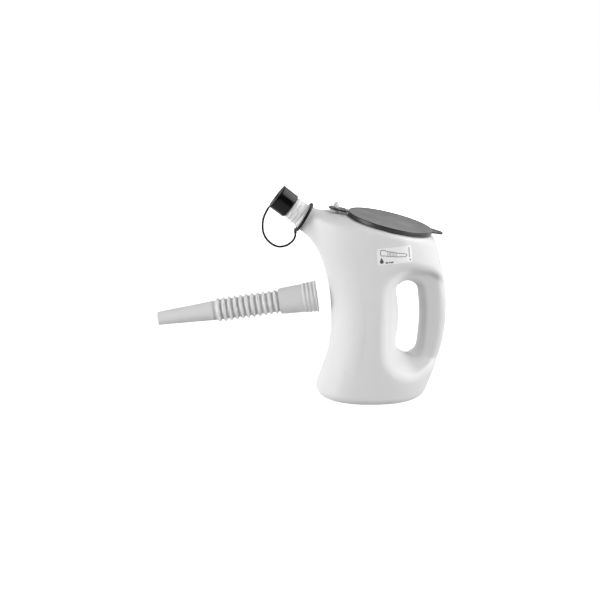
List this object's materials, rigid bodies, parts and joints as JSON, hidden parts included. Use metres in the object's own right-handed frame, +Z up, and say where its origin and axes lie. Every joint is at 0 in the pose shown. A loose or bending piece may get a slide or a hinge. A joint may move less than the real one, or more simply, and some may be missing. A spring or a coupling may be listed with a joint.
{
  "type": "measuring jug with flexible pouring spout",
  "caption": "Blow-moulded measuring jug with a hollow side handle, hinged snap lid, tethered screw cap and a loose corrugated pouring spout.",
  "frame": {"origin": "on the floor, under the middle of the box round the jug and its loose spout", "axes": "+X towards the jug's handle, +Y away from the face with the label, +Z up"},
  "size_m": [0.3736, 0.1226, 0.2736],
  "materials": {
    "jug_hdpe": "natural white blow-moulded polyethylene, satin",
    "label_film": "printed silver-grey film label",
    "lid_plastic": "dark grey moulded polypropylene, fine texture",
    "stud_nylon": "natural moulded nylon",
    "cap_plastic": "black moulded polypropylene",
    "liner_foam": "foamed polyethylene seal",
    "tether_rubber": "black soft moulded tether",
    "spout_pe": "natural translucent white polyethylene"
  },
  "bodies": {
    "jug": {"jug_body": "jug_hdpe", "level_label": "label_film", "lid_strap": "lid_plastic", "lid_hinge_web": "lid_plastic", "strap_stud": "stud_nylon"},
    "lid": {"lid": "lid_plastic"},
    "tether": {"tether_ring": "tether_rubber", "tether_strap": "tether_rubber"},
    "tether_end": {"tether_disc": "tether_rubber"},
    "cap": {"screw_cap": "cap_plastic", "cap_liner": "liner_foam"},
    "spout": {"spout_socket": "spout_pe", "spout_bellows": "spout_pe"},
    "spout_tip": {"spout_nozzle": "spout_pe"}
  },
  "joints": [
    {"name": "lid_hinge", "type": "hinge", "parent": "jug", "child": "lid", "pos_m": [0.0584, 0, 0.24167], "axis": [0, -1, 0], "range_deg": [0, 125], "deforming": ["lid_hinge_web"]},
    {"name": "tether_swivel", "type": "hinge", "parent": "jug", "child": "tether", "pos_m": [0.0015, 0, 0.2351], "axis": [-0.7923, 0, 0.6101], "range_deg": [-45, 45]},
    {"name": "cap_lift", "type": "slide", "parent": "tether", "child": "tether_end", "axis": [-0.7923, 0, 0.6101], "range_m": [0, 0.0225], "deforming": ["tether_strap"]},
    {"name": "cap_turn", "type": "hinge", "parent": "tether_end", "child": "cap", "pos_m": [0.0015, 0, 0.2351], "axis": [-0.7923, 0, 0.6101], "range_deg": [0, 1380]},
    {"name": "spout_slide", "type": "slide", "parent": "jug", "child": "spout", "axis": [-0.9895, 0, -0.1444], "range_m": [0, 0.06]},
    {"name": "spout_bend", "type": "hinge", "parent": "spout", "child": "spout_tip", "pos_m": [-0.06965, 0, 0.11675], "axis": [0, 1, 0], "range_deg": [-45, 45], "deforming": ["spout_bellows"]}
  ],
  "couplings": [
    {"joint": "cap_lift", "follows": "cap_turn", "m_per_rad": 0.0009231}
  ]
}
